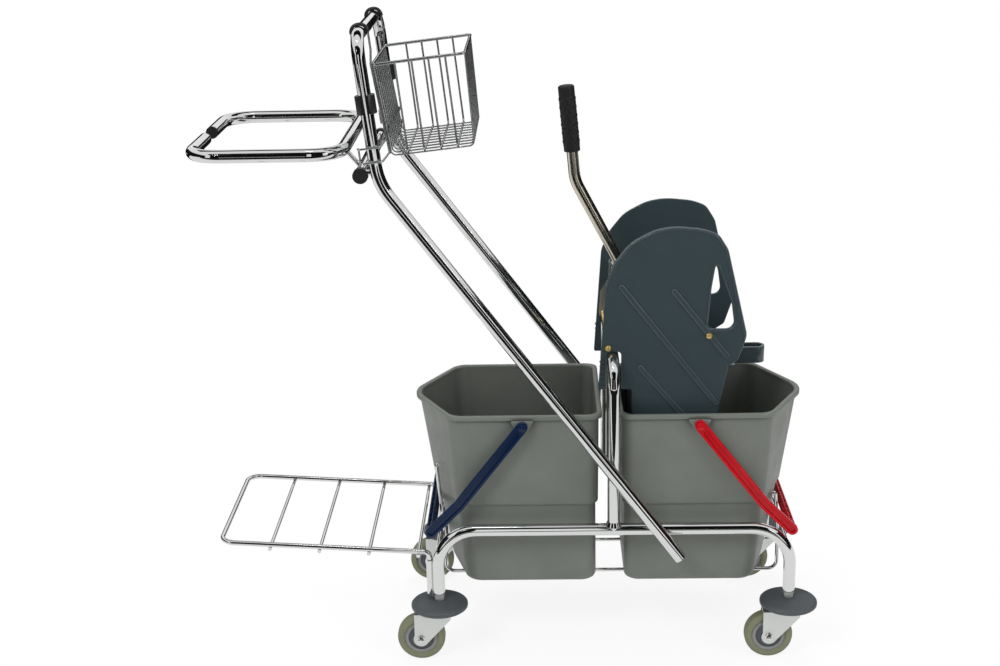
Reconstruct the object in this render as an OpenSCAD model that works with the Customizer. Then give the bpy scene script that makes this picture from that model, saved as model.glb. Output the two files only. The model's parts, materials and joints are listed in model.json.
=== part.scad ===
// Double mop bucket trolley with a lever wringer, wire basket, bag ring and wire shelf.
// Sizes are in millimetres. +X points to the wringer end, +Y away from the viewer, +Z up from the floor.
// Lengths along X are measured from the hoop that stands between the two buckets.

/* [Base] */
// Distance between the caster stems along the trolley
base_l = 545; // [480:1:620]
// Distance between the two side rails, centre to centre
track = 280; // [268:1:340]
// Height of the side rails' centre line
rail_z = 217; // [200:1:240]
// Height of the lower ends of the legs
leg_z = 111; // [106:1:116]
// Bend radius where a rail turns down into a leg
leg_bend_r = 60; // [45:1:75]
// Outside diameter of the frame tubes
tube_d = 19; // [16:0.5:22]
// Wall of the frame tubes
tube_wall = 1.5; // [1:0.1:2.5]
// Height of the hoop's centre line at its top
hoop_z = 480.5; // [470:0.5:484]
// Bend radius at the top of the hoop
hoop_bend_r = 40; // [30:1:60]

/* [Cradle] */
// Diameter of the wires under the buckets
cradle_d = 6; // [5:0.5:7]
// Distance between the two cradle wires
cradle_w = 114; // [90:1:150]
// Height of the cradle's hooked tips
cradle_tip_z = 293; // [240:1:300]
// Diameter of the rods that tie the legs together
tie_d = 10; // [8:0.5:12]
// Height of the tie rods
tie_z = 172; // [160:1:185]

/* [Casters] */
// Diameter of the wheels
wheel_d = 75; // [60:1:76]
// Width of the wheels
wheel_w = 22; // [16:1:26]
// Distance of the axle behind the swivel axis
trail = 30; // [22:1:34]
// Diameter of the bumper discs
bumper_d = 89; // [70:1:95]
// Diameter of the axle bolts and swivel stems
axle_d = 8; // [6:0.5:9]
// Thickness of the fork plates
fork_t = 3; // [2:0.25:4]

/* [Push handle] */
// Height of the crossbar's centre line
handle_z = 977; // [940:1:1040]
// Lean of the upper part, in degrees
handle_lean = 6.3; // [3:0.1:9]
// Height of the bend between the slanted and the upper part
bend_z = 770; // [750:1:782]
// Distance of that bend from the hoop
bend_x = 339; // [320:1:360]
// Height of the open lower ends
foot_z = 176; // [165:1:190]
// Distance of the lower ends from the hoop
foot_x = 102; // [85:1:120]
// Bend radius below the crossbar
top_bend_r = 36; // [28:1:45]

/* [Wire shelf] */
// Distance of the shelf's free end from the hoop
shelf_x = 612; // [540:1:616]
// Distance of the shelf's side wires inside the rails' centre lines
shelf_in = 6; // [3:0.5:9]
// Height of the shelf at its free end
shelf_z = 198; // [180:1:210]
// Height of the shelf above the sockets
shelf_root_z = 178; // [172:1:186]
// Diameter of the shelf's side wire
shelf_d = 8; // [7:0.25:8.5]
// Diameter of the shelf's cross wires
rung_d = 6; // [4:0.5:7]

/* [Bag holder] */
// Distance of the ring's open end from the hoop
ring_x = 611; // [560:1:640]
// Distance of the ring's closed end from the hoop
ring_root_x = 391; // [385:1:400]
// Width of the ring, centre to centre
ring_w = 330; // [310:1:350]
// Height of the ring
ring_z = 813; // [806:1:822]
// Opening between the ring's two ends
ring_gap = 58; // [40:1:80]
// Bend radius at the ring's corners
ring_bend_r = 48; // [40:1:56]
// Height of the lower tube that bears on the handle
bearer_z = 781; // [778:0.5:784]
// Gap between the lower tube and the handle
bearer_gap = 4.8; // [2:0.2:8]
// Diameter of the lower tube's end caps
bearer_cap_d = 22.5; // [20:0.5:24]

/* [Basket] */
// Width of the basket across the trolley
basket_w = 214; // [180:1:222]
// Length of the basket's rim
basket_l = 134; // [100:1:160]
// Height of the basket
basket_h = 135; // [128:1:138]
// Number of close wires along the back, floor and front
basket_wires = 10; // [6:1:14]
// Diameter of the rim wire
basket_rim_d = 4.5; // [4:0.5:6]
// Diameter of the hanger wires
hanger_d = 3.2; // [2.5:0.1:4]
// Outside diameter of the sleeves on the hangers
sleeve_d = 5; // [4.75:0.25:7]

/* [Buckets] */
// Width of the bucket's rim
bucket_w = 252; // [240:1:258]
// Length of the bucket from its flat end to its spout
bucket_l = 287; // [270:1:300]
// Height of the rim above the floor
rim_z = 398.5; // [390:0.5:404]
// Gap between the two rims, filled by nothing but the hoop's plane
bucket_gap = 25; // [24:0.5:32]
// Shift of both buckets towards the push handle
bucket_off = 4; // [0:0.5:4]
// Wall of the buckets
bucket_wall = 3; // [2.5:0.1:4]
// Distance of the bail pivots from the hoop
bail_x = 135; // [120:1:150]
// Height of the bail pivots
bail_z = 385; // [380:0.5:386]
// Width of a bail's arm
bail_w = 17; // [14:0.5:18]
// Thickness of a bail's arm
bail_t = 8; // [6:0.5:9]

/* [Wringer] */
// Distance between the outer faces of the side plates
wringer_w = 194; // [170:1:198]
// Reach of the side plates to the right of the hoop
plate_reach = 203; // [196:1:206]
// Rise of the side plates above the hoop's top
plate_rise = 205.5; // [195:0.5:215]
// Thickness of the side plates
plate_t = 5; // [4:0.25:6]
// Distance of the lever's shaft from the hoop, to the left
pivot_x = 7; // [5:0.5:9]
// Height of the lever's shaft
pivot_z = 497; // [496:0.5:500]
// Distance of the stay shaft from the hoop
stay_x = 145; // [140:1:150]
// Height of the stay shaft
stay_z = 515; // [510:1:520]
// Diameter of both shafts
shaft_d = 8; // [6:0.5:9]
// Rows of drain slots in the trough
drain_rows = 6; // [3:1:8]

/* [Lever] */
// Diameter of the lever tube
lever_d = 17.5; // [15:0.5:19]
// Height of the lever's top
lever_z = 878; // [820:1:920]
// Diameter of the grip
grip_d = 25.5; // [22:0.5:28]
// Length of the grip
grip_l = 101; // [80:1:115]
// Length of the press plate
press_l = 80; // [77:1:84]

/* [Hidden] */
$fn = 40;

// Clearances: seats of fixed pieces, running fits and side gaps between neighbours
seat = 0.05;
run_fit = 0.06;
side_gap = 0.4;
// Bends are this much thicker than straight bars, which reach this far into them
bend_swell = 0.03;
bend_lap = 0.3;

chrome = [0.82, 0.84, 0.86];
zinc = [0.75, 0.77, 0.78];
black = [0.08, 0.08, 0.08];
grey = [0.46, 0.48, 0.45];
slate = [0.2, 0.23, 0.25];
olive = [0.42, 0.4, 0.3];

tube_r = tube_d / 2;
stem_x = base_l / 2;
rail_y = track / 2;
shelf_w = track - 2 * shelf_in;
handle_y = rail_y + tube_d + side_gap;
// The hoop stands off centre so that the whole part is centred on the frame's origin
hoop_x = (ring_x + tube_r - stem_x - bumper_d / 2) / 2;

function unit(v) = v / norm(v);
function radius_at(r, i) = is_list(r) ? r[i] : r;
function way(p, i) = unit(p[i + 1] - p[i]);
function setback(p, r, i) = radius_at(r, i) * tan(acos(way(p, i - 1) * way(p, i)) / 2);
function longer(p, by) = [for (i = [0 : len(p) - 1])
    i == 0 ? p[0] - way(p, 0) * by : i == len(p) - 1 ? p[i] + way(p, i - 1) * by : p[i]];
function xz(p, y) = [for (q = p) [q[0], y, q[1]]];

// Rounds the corners of a flat outline whose points are [x, y, radius], with a few points to each corner
function rounded(c, n = 6) = [for (i = [0 : len(c) - 1])
    let (k = len(c), p = [c[i][0], c[i][1]],
         a = unit([c[(i + k - 1) % k][0], c[(i + k - 1) % k][1]] - p),
         b = unit([c[(i + 1) % k][0], c[(i + 1) % k][1]] - p),
         half = acos(a * b) / 2, o = p + unit(a + b) * c[i][2] / sin(half),
         s = p + a * c[i][2] / tan(half) - o, e = p + b * c[i][2] / tan(half) - o,
         from = atan2(s[1], s[0]), sweep = atan2(s[0] * e[1] - s[1] * e[0], s * e))
    for (j = [0 : n]) o + c[i][2] * [cos(from + sweep * j / n), sin(from + sweep * j / n)]];

// Straight round bar from a to b
module bar(a, b, d) {
    v = b - a;
    if (norm(v) > 0.01)
        translate(a) rotate([0, acos(v[2] / norm(v)), atan2(v[1], v[0])]) cylinder(h = norm(v), d = d);
}

// Bend of a round bar at corner p, from direction a to direction b, a hair thicker than the straight bars
module elbow(p, a, b, r, d) {
    m = unit(b - (a * b) * a);
    c = p - a * r * tan(acos(a * b) / 2) + m * r;
    n = cross(-m, a);
    multmatrix([[-m[0], a[0], n[0], c[0]], [-m[1], a[1], n[1], c[1]],
                [-m[2], a[2], n[2], c[2]], [0, 0, 0, 1]])
        rotate_extrude(angle = acos(a * b)) translate([r, 0]) circle(d = d + 2 * bend_swell);
}

// Round bar along a list of points, bent at each inner one; the straight bars reach a little into the bends
module rod(p, r, d) {
    last = len(p) - 1;
    for (i = [0 : last - 1])
        bar(i == 0 ? p[0] : p[i] + way(p, i) * (setback(p, r, i) - bend_lap),
            i == last - 1 ? p[last] : p[i + 1] - way(p, i) * (setback(p, r, i + 1) - bend_lap), d);
    for (i = [1 : last - 1])
        elbow(p[i], way(p, i - 1), way(p, i), radius_at(r, i), d);
}

// Closed loop of round bar through the corners of a rectangle
module loop(p, r, d) {
    q = concat([p[3]], p, [p[0]]);
    for (i = [1 : 4]) {
        bar(q[i] + way(q, i) * (r - bend_lap), q[i + 1] - way(q, i) * (r - bend_lap), d);
        elbow(q[i], way(q, i - 1), way(q, i), r, d);
    }
}

module at_hoop() {
    translate([hoop_x, 0, 0]) children();
}

// Lays a flat XZ drawing against the plane y = from and gives it thickness t towards +Y
module slab(from, t) {
    translate([0, from + t, 0]) rotate([90, 0, 0]) linear_extrude(t) children();
}

// Cylinder along Y
module pin(x, z, from, to, d) {
    translate([x, to, z]) rotate([90, 0, 0]) cylinder(h = to - from, d = d);
}

// Flat strip of width w along a list of points, with round corners and ends
module strip(p, w) {
    for (i = [0 : len(p) - 2]) {
        v = p[i + 1] - p[i];
        translate(p[i]) rotate(atan2(v[1], v[0])) translate([0, -w / 2]) square([norm(v), w]);
    }
    for (q = p)
        translate(q) circle(d = w + 2 * bend_swell);
}

// Frame: rails, hoop, tie rods, cradle wires and shelf sockets welded into one piece

socket_d = 12;
socket_top = 165;
socket_low = 104;
weld_bite = 0.8;
socket_x = stem_x + sqrt(pow(tube_r + socket_d / 2 - weld_bite, 2) - pow(shelf_in, 2));
cradle_z = leg_z - cradle_d / 2;
cradle_end = stem_x - tie_d / 2 - cradle_d / 2 + weld_bite;
cradle_lean = 11.5;
cradle_tuck = 6;
cradle_hook = 5;
cradle_tip_right_z = 240;

function rail_path(y) = [[-stem_x, y, leg_z], [-stem_x, y, rail_z], [stem_x, y, rail_z], [stem_x, y, leg_z]];
function hoop_path(foot) = [[0, -rail_y, foot], [0, -rail_y, hoop_z], [0, rail_y, hoop_z], [0, rail_y, foot]];

// The wire leans out behind the left bucket and is tucked in under the grip of the right one
module cradle_wire(y) {
    rod([[-cradle_end - cradle_lean + cradle_hook, y, cradle_tip_z],
         [-cradle_end - cradle_lean, y, cradle_tip_z],
         [-cradle_end, y, tie_z], [-cradle_end, y, cradle_z], [cradle_end, y, cradle_z],
         [cradle_end, y, tie_z],
         [cradle_end - cradle_tuck, y, cradle_tip_right_z],
         [cradle_end - cradle_tuck - cradle_hook, y, cradle_tip_right_z]],
        [0, 3.5, 30, 14, 14, 30, 3.5, 0], cradle_d);
}

module frame() color(chrome) at_hoop() difference() {
    union() {
        for (y = [-rail_y, rail_y]) {
            rod(rail_path(y), leg_bend_r, tube_d);
            // Weld collar at the foot of the hoop
            translate([0, y, rail_z + tube_r - 3]) cylinder(h = 7, d1 = tube_d + 7, d2 = tube_d + 1);
        }
        rod(hoop_path(rail_z), hoop_bend_r, tube_d);
        for (x = [-stem_x, stem_x])
            bar([x, -rail_y, tie_z], [x, rail_y, tie_z], tie_d);
        for (y = [-cradle_w / 2, cradle_w / 2])
            cradle_wire(y);
        for (s = [-1, 1])
            bar([-socket_x, s * shelf_w / 2, socket_low], [-socket_x, s * shelf_w / 2, socket_top], socket_d);
    }
    for (y = [-rail_y, rail_y])
        rod(longer(rail_path(y), 1), leg_bend_r, tube_d - 2 * tube_wall);
    rod(hoop_path(rail_z + tube_r + 2), hoop_bend_r, tube_d - 2 * tube_wall);
    for (s = [-1, 1])
        bar([-socket_x, s * shelf_w / 2, socket_low + 2], [-socket_x, s * shelf_w / 2, socket_top + 1],
            shelf_d + 2 * seat);
}

// Push handle

lean_tan = tan(handle_lean);
crossbar_x = -bend_x - lean_tan * (handle_z - bend_z);
slant_bend_r = 100;
pad_d = 11;

function slant_x(z) = foot_x - (foot_x + bend_x) * (z - foot_z) / (bend_z - foot_z);
function slant_z(x) = foot_z + (foot_x - x) * (bend_z - foot_z) / (foot_x + bend_x);
handle_path = [[foot_x, -handle_y, foot_z], [-bend_x, -handle_y, bend_z], [crossbar_x, -handle_y, handle_z],
               [crossbar_x, handle_y, handle_z], [-bend_x, handle_y, bend_z], [foot_x, handle_y, foot_z]];
handle_r = [0, slant_bend_r, top_bend_r, top_bend_r, slant_bend_r, 0];

module push_handle() color(chrome) at_hoop() difference() {
    union() {
        rod(handle_path, handle_r, tube_d);
        // Weld pads against the hoop and the rails
        for (s = [-1, 1]) {
            bar([0, s * handle_y, slant_z(0)], [0, s * rail_y, slant_z(0)], pad_d);
            bar([slant_x(rail_z), s * handle_y, rail_z], [slant_x(rail_z), s * rail_y, rail_z], pad_d);
        }
    }
    rod(longer(handle_path, 1), handle_r, tube_d - 2 * tube_wall);
    for (s = [-1, 1]) {
        bar([0, s * rail_y, rail_z], [0, s * rail_y, hoop_z], tube_d + 2 * seat);
        bar([-stem_x, s * rail_y, rail_z], [stem_x, s * rail_y, rail_z], tube_d + 2 * seat);
    }
}

// Wire shelf

shelf_bend_r = 22;
rung_over = 3.5;
shelf_fall = (shelf_z - shelf_root_z) / (shelf_x - socket_x);
rung_pitch = (shelf_x - socket_x - 18) / 4;

module wire_shelf() color(chrome) at_hoop() {
    rod([[-socket_x, -shelf_w / 2, socket_low + 4], [-socket_x, -shelf_w / 2, shelf_root_z],
         [-shelf_x, -shelf_w / 2, shelf_z], [-shelf_x, shelf_w / 2, shelf_z],
         [-socket_x, shelf_w / 2, shelf_root_z], [-socket_x, shelf_w / 2, socket_low + 4]],
        [0, 9, shelf_bend_r, shelf_bend_r, 9, 0], shelf_d);
    for (i = [0 : 3]) {
        x = -socket_x - 18 - i * rung_pitch;
        z = shelf_root_z + shelf_fall * (-x - socket_x) - (shelf_d + rung_d) / 2 + 0.6;
        bar([x, -shelf_w / 2 - rung_over, z], [x, shelf_w / 2 + rung_over, z], rung_d);
    }
}

// Bag holder: open ring, two links and a lower tube whose stubs are welded to the handle

plug_t = 3;
cap_t = 6;
link_d = 7;
link_y = 112;
stub_d = 9;
bearer_x = bend_x + lean_tan * (bearer_z - bend_z) + tube_d + bearer_gap;
stub_y = handle_y - 4;
bearer_y = handle_y - 2;

ring_path = [[-ring_x, -ring_gap / 2, ring_z], [-ring_x, -ring_w / 2, ring_z],
             [-ring_root_x, -ring_w / 2, ring_z], [-ring_root_x, ring_w / 2, ring_z],
             [-ring_x, ring_w / 2, ring_z], [-ring_x, ring_gap / 2, ring_z]];

module bag_ring() color(chrome) at_hoop() difference() {
    union() {
        rod(ring_path, ring_bend_r, tube_d);
        bar([-bearer_x, -bearer_y, bearer_z], [-bearer_x, bearer_y, bearer_z], tube_d);
        for (s = [-1, 1]) {
            bar([-ring_root_x + 4, s * link_y, ring_z - 5],
                [-bearer_x - 3, s * link_y, bearer_z + 3], link_d);
            bar([-bearer_x, s * stub_y, bearer_z + 4], [-bend_x, s * stub_y, bearer_z + 4], stub_d);
        }
    }
    rod(longer(ring_path, 1), ring_bend_r, tube_d - 2 * tube_wall);
    bar([-bearer_x, -bearer_y - 1, bearer_z], [-bearer_x, bearer_y + 1, bearer_z], tube_d - 2 * tube_wall);
    rod(handle_path, handle_r, tube_d + 2 * seat);
}

// Plug in an open end of the ring, facing along s
module ring_plug(s) color(black) at_hoop() {
    bar([-ring_x, s * (ring_gap / 2 - plug_t), ring_z], [-ring_x, s * (ring_gap / 2 - seat), ring_z], tube_d);
    bar([-ring_x, s * (ring_gap / 2 - plug_t), ring_z], [-ring_x, s * (ring_gap / 2 + 12), ring_z],
        tube_d - 2 * tube_wall - 2 * seat);
}

module ring_plug_near() {
    ring_plug(-1);
}

module ring_plug_far() {
    ring_plug(1);
}

// Cap on an end of the lower tube
module bearer_cap(s) color(black) at_hoop() difference() {
    bar([-bearer_x, s * (bearer_y - cap_t), bearer_z], [-bearer_x, s * (bearer_y + cap_t), bearer_z],
        bearer_cap_d);
    bar([-bearer_x, s * (bearer_y - cap_t - 1), bearer_z], [-bearer_x, s * (bearer_y + seat), bearer_z],
        tube_d + 2 * seat);
    rod(handle_path, handle_r, tube_d + 2 * seat);
    bar([-bearer_x, s * stub_y, bearer_z + 4], [-bend_x, s * stub_y, bearer_z + 4], stub_d + 2 * seat);
}

module bearer_cap_near() {
    bearer_cap(-1);
}

module bearer_cap_far() {
    bearer_cap(1);
}

// Basket, drawn upright under the crossbar and then leaned with the handle

rim_x = 11;
rim_drop = 47;
floor_in = 8;
close_d = 2.6;
side_d = 3;
side_wires = 4;
hook_r = tube_r + sleeve_d / 2 + seat;
hook_bend_r = hook_r - 1;
hook_tail = 22;
hanger_y = basket_w / 2 - 2;
tie_wire_x = tube_r + hanger_d / 2 + side_gap + 0.8;
tie_wire_y = handle_y + tube_r + hanger_d / 2 + side_gap;
tie_wire_left = -tie_wire_x - 8;
tie_wire_top = -155;
tie_wire_low = -176;

// Where the strap of a hanger runs at height z
function strap_x(z) = rim_x - 2 + floor_in * (-rim_drop - z) / (basket_h - 4);

module at_crossbar() {
    at_hoop() translate([crossbar_x, 0, handle_z]) rotate([0, -handle_lean, 0]) children();
}

// Hook over the crossbar, strap down the basket's back and the tie round the handle tube
module hanger(s) {
    y = s * hanger_y;
    rod([[-hook_r, y, -hook_tail], [-hook_r, y, hook_r], [hook_r, y, hook_r], [hook_r, y, -26],
         [rim_x - 2, y, -rim_drop], [rim_x + floor_in - 2, y, -rim_drop - basket_h + 4]],
        [0, hook_bend_r, hook_bend_r, 20, 20, 0], hanger_d);
    rod([[strap_x(tie_wire_top), y, tie_wire_top], [tie_wire_x, s * tie_wire_y, tie_wire_top],
         [tie_wire_left, s * tie_wire_y, tie_wire_top], [tie_wire_left, s * handle_y, tie_wire_top],
         [tie_wire_left, s * handle_y, tie_wire_low], [tie_wire_left, s * tie_wire_y, tie_wire_low],
         [tie_wire_x, s * tie_wire_y, tie_wire_low], [strap_x(tie_wire_low), y, tie_wire_low]],
        5, hanger_d - 0.2);
}

module basket() color(chrome) at_crossbar() {
    far_x = rim_x + basket_l;
    low_z = -rim_drop - basket_h;
    w = basket_w / 2;
    loop([[far_x, -w, -rim_drop], [far_x, w, -rim_drop], [rim_x, w, -rim_drop], [rim_x, -w, -rim_drop]],
        7, basket_rim_d);
    for (i = [0 : basket_wires - 1]) {
        y = (i / (basket_wires - 1) - 0.5) * (basket_w - 14);
        rod([[rim_x, y, -rim_drop], [rim_x + floor_in, y, low_z], [far_x - floor_in / 2, y, low_z],
             [far_x, y, -rim_drop]], 8, close_d);
    }
    for (i = [1 : side_wires]) {
        x = rim_x + floor_in + i * (basket_l - floor_in * 1.5) / (side_wires + 1);
        rod([[x, -w, -rim_drop], [x, -w + 3, low_z + side_d - 0.7], [x, w - 3, low_z + side_d - 0.7],
             [x, w, -rim_drop]], 6, side_d);
    }
    for (s = [-1, 1])
        hanger(s);
}

// Sleeve on a hanger where it lies on the crossbar
module sleeve(s) color(black) at_crossbar() difference() {
    path = [for (q = [[-1, 0], [-1, 1], [1, 1], [1, 0]]) [q[0] * hook_r, s * hanger_y, q[1] * hook_r]];
    rod(path, hook_bend_r, sleeve_d);
    rod(longer(path, 1), hook_bend_r, hanger_d + 2 * seat);
}

module sleeve_near() {
    sleeve(-1);
}

module sleeve_far() {
    sleeve(1);
}

// Snap clip on the handle's upper part, open to the outside

clip_d = 29;
clip_h = 27;
clip_mouth = 11;
clip_drop = 94;

module clip(s) color(black) at_crossbar() translate([0, s * handle_y, -clip_drop]) difference() {
    translate([0, 0, -clip_h / 2]) cylinder(h = clip_h, d = clip_d);
    translate([0, 0, -clip_h]) cylinder(h = 2 * clip_h, d = tube_d + 2 * seat);
    translate([-clip_mouth / 2, s > 0 ? 0 : -clip_d, -clip_h]) cube([clip_mouth, clip_d, 2 * clip_h]);
}

module clip_near() {
    clip(-1);
}

module clip_far() {
    clip(1);
}

// Buckets: closed skins through rings of points, drawn for the right-hand side

bucket_in = bucket_gap / 2;
bucket_z = leg_z + 0.1;
rim_out = 5;
rim_h = 7.5;
step_z = 247;
spout_cut = 12.5;
// Shoulders of the nose, as shares of the length at the rim, above the step and at the floor
rim_shoulder = 0.81;
step_shoulder = 0.775;
low_shoulder = 0.735;
lug_y = bucket_w / 2 + 6;
bail_pin_d = 8;
bail_in = lug_y + 1;

// One ring of a bucket: flat end, shoulder, spout tip and half width, at height z and inset by d
function bucket_ring(z, d, end, shoulder, tip, half) = [for (q = rounded([
    [end + d, -half + d, 18], [shoulder - d / 2, -half + d, 26], [tip - 1.2 * d, 0, 60],
    [shoulder - d / 2, half - d, 26], [end + d, half - d, 18]], 8)) [q[0], q[1], z]];

// Rings at the rim, under the rim, above and below the step, and at the floor
function rim_ring(z, d) = bucket_ring(z, d, bucket_in, bucket_in + rim_shoulder * bucket_l,
    bucket_in + bucket_l + spout_cut, bucket_w / 2);
function wall_ring(z, d) = bucket_ring(z, d + rim_out, bucket_in, bucket_in + rim_shoulder * bucket_l,
    bucket_in + bucket_l + spout_cut, bucket_w / 2);
function step_ring(z, d) = bucket_ring(z, d, bucket_in + 6, bucket_in + step_shoulder * bucket_l,
    bucket_in + 0.895 * bucket_l + spout_cut, bucket_w / 2 - 10.5);
function low_ring(z, d) = bucket_ring(z, d, bucket_in + 9.5, bucket_in + low_shoulder * bucket_l,
    bucket_in + 0.805 * bucket_l + spout_cut, bucket_w / 2 - 18);

function bucket_rings() = let (t = bucket_wall) [
    low_ring(bucket_z, 13), low_ring(bucket_z + 1.2, 7.5), low_ring(bucket_z + 4.2, 3.2),
    low_ring(bucket_z + 10, 0.6), low_ring(bucket_z + 15, 0),
    step_ring(step_z - 3, 4), step_ring(step_z + 2, 0),
    wall_ring(rim_z - rim_h, 0), rim_ring(rim_z - rim_h, 0), rim_ring(rim_z - 1.5, 0), rim_ring(rim_z, 1.5),
    wall_ring(rim_z, t - 1.5), wall_ring(rim_z - 2, t), wall_ring(rim_z - rim_h, t), step_ring(step_z + 2, t),
    step_ring(step_z - 3, 4 + t), low_ring(bucket_z + 15 + t, t), low_ring(bucket_z + 8 + t, t + 1.8),
    low_ring(bucket_z + 2.2 + t, t + 6.5), low_ring(bucket_z + t, t + 13)];

module bucket_skin() {
    rings = bucket_rings();
    k = len(rings[0]);
    last = len(rings) - 1;
    polyhedron(points = [for (r = rings) for (p = r) p],
        faces = concat([[for (i = [0 : k - 1]) i]],
            [for (j = [0 : last - 1]) for (i = [0 : k - 1]) let (n = (i + 1) % k)
                [j * k + i, (j + 1) * k + n, j * k + n]],
            [for (j = [0 : last - 1]) for (i = [0 : k - 1]) let (n = (i + 1) % k)
                [j * k + i, (j + 1) * k + i, (j + 1) * k + n]],
            [[for (i = [k - 1 : -1 : 0]) last * k + i]]));
}

// Lug under the rim with the pin on which a bail swings
module bail_lug(s) {
    lug_in = bucket_w / 2 - rim_out - 2;
    slab(s > 0 ? lug_in : -lug_y, lug_y - lug_in)
        polygon([[bail_x - 18, rim_z - rim_h + 1], [bail_x - 9, bail_z - 9], [bail_x + 9, bail_z - 9],
                 [bail_x + 18, rim_z - rim_h + 1]]);
    pin(bail_x, bail_z, s > 0 ? lug_y - 2 : -bail_in - bail_t - 1,
        s > 0 ? bail_in + bail_t + 1 : -lug_y + 2, bail_pin_d);
}

module at_buckets() {
    translate([hoop_x - bucket_off, 0, 0]) children();
}

module bucket() {
    bucket_skin();
    for (s = [-1, 1])
        bail_lug(s);
}

module bucket_left() color(grey) at_buckets() mirror([1, 0, 0]) {
    bucket();
}

module bucket_right() color(grey) at_buckets() {
    bucket();
}

// Bails: channelled arms with a kink, and a ribbed grip across their ends

bail_kink = [bucket_in + bucket_l - 64, bail_z - 129];
bail_corner = [bucket_in + bucket_l - 20.5, bail_z - 172];
grip_w = 13;
grip_t = 10;
grip_ribs = 12;
bail_slope = atan2(bail_kink[1] - bail_corner[1], bail_corner[0] - bail_kink[0]);

module bail_arm(s) {
    path = [[bail_x, bail_z], bail_kink, bail_corner];
    outer = bail_in + bail_t;
    difference() {
        slab(s > 0 ? bail_in : -outer, bail_t) strip(path, bail_w);
        slab(s > 0 ? outer - 3.5 : -outer - 1, 4.5)
            strip([path[0] + 14 * unit(path[1] - path[0]), path[1], path[2]], bail_w - 9);
        pin(bail_x, bail_z, -outer - 1, outer + 1, bail_pin_d + 2 * run_fit);
    }
}

module bail() {
    long = 2 * (bail_in + 1);
    for (s = [-1, 1])
        bail_arm(s);
    translate([bail_corner[0], 0, bail_corner[1]]) rotate([0, bail_slope, 0]) difference() {
        translate([-grip_w / 2, -long / 2, -grip_t / 2]) cube([grip_w, long, grip_t]);
        // Pockets between the ribs on the upper face
        for (i = [0 : grip_ribs - 1])
            translate([-grip_w / 2 + 3, -long / 2 + 6 + i * (long - 12) / grip_ribs, -grip_t / 2 + 4])
                cube([grip_w - 6, (long - 12) / grip_ribs - 3, grip_t]);
    }
}

module bail_left() color([0.03, 0.1, 0.35]) at_buckets() mirror([1, 0, 0]) {
    bail();
}

module bail_right() color([0.8, 0.03, 0.06]) at_buckets() {
    bail();
}

// Wringer

plate_out = wringer_w / 2;
plate_in = plate_out - plate_t;
ledge_z = step_z + 3.2;
trough_half = plate_in - seat;
rib_h = 2.5;
rib_w = 9;
head_d = 9.5;
head_t = 3;
notch = tube_r + side_gap;
notch_right = 13;

// Point on a side plate as shares of its reach and rise, with a corner radius
function face(u, v, r = 0) = [u * plate_reach, hoop_z + v * plate_rise, r];

module plate_outline() {
    polygon(rounded([[-22, 430, 3], [29, 430, 3], [31, ledge_z, 6], [146, ledge_z, 18], [161, 390, 30],
        [176, 466, 5], [190, 475, 10], face(1, 0.163, 25), face(0.847, 0.815, 30), face(0.773, 0.932, 22),
        face(0.665, 0.973, 80), face(0.453, 0.995, 110), face(0.305, 0.971, 80), face(0.128, 0.878, 60),
        face(0.015, 0.737, 50), face(-0.049, 0.591, 40)]));
}

// Side plate with slanted ribs, a window, the notch over the hoop and a foot on the bucket's ledge
module wringer_plate(s) color(slate) at_hoop() difference() {
    union() {
        slab(s > 0 ? plate_in : -plate_out, plate_t) plate_outline();
        slab(s > 0 ? plate_out - 1 : -plate_out - rib_h, rib_h + 1) {
            strip([face(0.064, 0.547), face(0.778, -0.358)], rib_w);
            strip([face(0.453, 0.509), face(0.852, 0.012)], rib_w);
            strip([face(0.207, -0.075), face(0.527, -0.445)], rib_w);
        }
        translate([50, s > 0 ? plate_in : -bucket_w / 2 + 15, ledge_z])
            cube([80, bucket_w / 2 - 15 - plate_in, 8]);
        // Ladder ribs on the flange that hooks behind the hoop
        for (i = [0 : 5])
            translate([-20, s > 0 ? plate_out - 1 : -plate_out - rib_h, 434 + i * 8]) cube([8, rib_h + 1, 3]);
    }
    slab(-plate_out - 9, wringer_w + 18) {
        polygon(rounded([[-notch, 380, 1], [notch_right, 380, 1], [notch_right, hoop_z + notch, 6],
                         [-notch, hoop_z + notch, notch - 0.5]]));
        polygon(rounded([face(0.761, 0.737, 3), face(0.729, 0.533, 40), face(0.703, 0.217, 9),
                         face(0.906, 0.217, 12), face(0.879, 0.411, 40)]));
    }
    // Bores for the shafts, and room in the ribs for their heads
    for (p = [[-pivot_x, pivot_z], [stay_x, stay_z]]) {
        pin(p[0], p[1], -plate_out - 9, plate_out + 9, shaft_d + 2 * seat);
        pin(p[0], p[1], s > 0 ? plate_out + seat / 2 : -plate_out - 9,
            s > 0 ? plate_out + 9 : -plate_out - seat / 2, head_d + 2 * side_gap);
    }
}

module wringer_plate_near() {
    wringer_plate(-1);
}

module wringer_plate_far() {
    wringer_plate(1);
}

// Trough between the plates: back, floor and front panels with drain slots, and a lifting lug
trough_z = 268;
trough_top = 462;
trough_wall = 3.5;
trough_x = 34;
trough_l = 109;
front_bend = [154, 392];
front_top = [170, 466];
flange_x = 186;
lug_w = 26;
lug_z = 442;
lug_h = 26;
lug_x = 230;
lug_wall = 4;

module trough_panel(p) {
    slab(-trough_half, 2 * trough_half) polygon(p);
}

module trough_back() color(slate) at_hoop() {
    trough_panel([[trough_x - trough_wall, trough_z - trough_wall], [trough_x, trough_z - trough_wall],
        [trough_x, trough_top], [trough_x - trough_wall, trough_top]]);
}

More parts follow.
